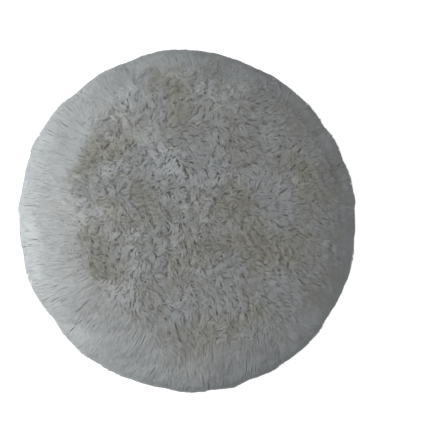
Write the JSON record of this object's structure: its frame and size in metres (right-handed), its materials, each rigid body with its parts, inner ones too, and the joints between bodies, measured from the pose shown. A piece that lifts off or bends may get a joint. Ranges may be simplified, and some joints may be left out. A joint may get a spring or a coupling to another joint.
{
  "type": "polishing pad",
  "caption": "Round lambswool polishing pad: dense cut wool on the face and side, foam inside, and a loop-fastener back with a centring hole.",
  "frame": {"origin": "centre of the loop face, on the surface that the pad lies on", "axes": "+Z along the pad's axis, from the loop face to the wool face; X and Y lie in the loop face, with the side band's butt joint at -X"},
  "size_m": [0.2, 0.2, 0.04],
  "materials": {
    "face_wool": "matte",
    "flank_wool": "matte",
    "sheepskin": "matte",
    "seam_thread": "matte",
    "glue": "gloss",
    "foam": "matte",
    "stiffener": "matte",
    "loop_cloth": "matte",
    "tape": "matte"
  },
  "bodies": {
    "root": {"face_pile": "face_wool", "flank_pile": "flank_wool", "face_hide": "sheepskin", "side_band_hide": "sheepskin", "face_seam_thread": "seam_thread", "band_end_stitches": "seam_thread", "binding_stitches": "seam_thread", "hide_glue_film": "glue", "foam_glue_film": "glue", "loop_glue_film": "glue", "foam_cushion": "foam", "stiffener_disc": "stiffener", "loop_backing": "loop_cloth", "loop_nap": "loop_cloth", "edge_binding": "tape"}
  },
  "joints": []
}
